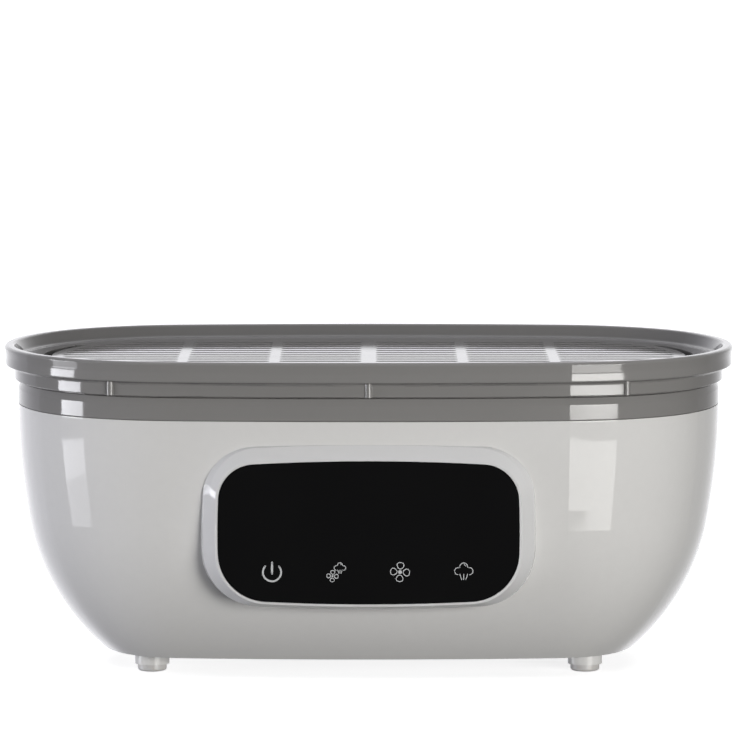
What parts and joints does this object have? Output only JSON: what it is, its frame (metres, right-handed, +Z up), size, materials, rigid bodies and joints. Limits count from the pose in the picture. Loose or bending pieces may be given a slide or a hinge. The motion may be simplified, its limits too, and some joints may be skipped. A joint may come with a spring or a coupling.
{
  "type": "bottle sterilizer",
  "caption": "Countertop baby bottle steriliser and dryer base: oval white housing, black touch panel, lift-off grey slotted rack tray, small feet.",
  "frame": {"origin": "on the table, under the middle of the base", "axes": "+Z up, -Y is the front with the touch panel, +X is to the user's right when facing the panel"},
  "size_m": [0.312, 0.1954, 0.1369],
  "materials": {
    "basin_white": "moulded PP, light grey-white",
    "bezel_white": "glossy moulded ABS, white",
    "board_green": "green solder mask",
    "ceramic_heater": "finned aluminium over ceramic",
    "component_blue": "blue component sleeve",
    "component_dark": "dark component case",
    "contact_brass": "nickel-plated brass",
    "display_dark": "dark light-guide block",
    "element_aluminium": "cast aluminium",
    "filter_felt": "pleated filter paper",
    "foam_black": "closed-cell foam",
    "foot_rubber": "pale grey rubber",
    "housing_white": "glossy moulded ABS, warm white",
    "inner_black": "black glass-filled nylon",
    "panel_black": "black-backed touch glass",
    "rack_grey": "satin-gloss moulded PP, warm grey",
    "silicone_seal": "translucent grey silicone",
    "socket_black": "black moulded thermoplastic",
    "steel_plate": "brushed stainless steel",
    "wire_grey": "PVC wire insulation",
    "wire_red": "silicone wire insulation",
    "zinc_steel": "zinc-plated steel"
  },
  "bodies": {
    "base": {"air_duct": "inner_black", "base_housing": "housing_white", "basin_deck": "basin_white", "board_screws": "zinc_steel", "bottom_cover": "housing_white", "buzzer": "component_dark", "capacitor": "component_blue", "clamp_screws": "zinc_steel", "control_bezel": "bezel_white", "control_board": "board_green", "cover_screws": "zinc_steel", "deck_screws": "zinc_steel", "display_module": "display_dark", "fan_frame": "inner_black", "fan_motor": "zinc_steel", "fan_screws": "zinc_steel", "fan_wires": "wire_red", "filter_bay": "inner_black", "foot_pad_front_left": "foot_rubber", "foot_pad_front_right": "foot_rubber", "foot_pad_rear_left": "foot_rubber", "foot_pad_rear_right": "foot_rubber", "heat_sink": "element_aluminium", "heater_wires": "wire_red", "heating_element": "element_aluminium", "heating_plate": "steel_plate", "inlet_pins": "contact_brass", "mains_wires": "wire_grey", "outlet_cap": "basin_white", "outlet_seal": "silicone_seal", "panel_gasket": "foam_black", "panel_wires": "wire_grey", "plate_clamp": "zinc_steel", "plate_seal": "silicone_seal", "power_board": "board_green", "power_board_screws": "zinc_steel", "power_inlet": "socket_black", "ptc_heater": "ceramic_heater", "relay": "component_blue", "terminal_block": "component_dark", "thermal_fuse": "zinc_steel", "thermostat": "zinc_steel", "touch_glass": "panel_black", "touch_pads": "foam_black", "transformer": "component_dark", "trim_ring": "rack_grey"},
    "tray": {"rack_tray": "rack_grey"},
    "fan": {"fan_impeller": "inner_black"},
    "filter": {"filter_cover": "housing_white", "air_filter": "filter_felt"}
  },
  "joints": [
    {"name": "tray_lift", "type": "slide", "parent": "base", "child": "tray", "axis": [0, 0, 1], "range_m": [0, 0.06]},
    {"name": "fan_spin", "type": "hinge", "parent": "base", "child": "fan", "pos_m": [0.084, 0, 0.05], "axis": [0, 0, 1], "continuous": true},
    {"name": "filter_pull", "type": "slide", "parent": "base", "child": "filter", "axis": [0, 1, 0], "range_m": [0, 0.04]}
  ]
}
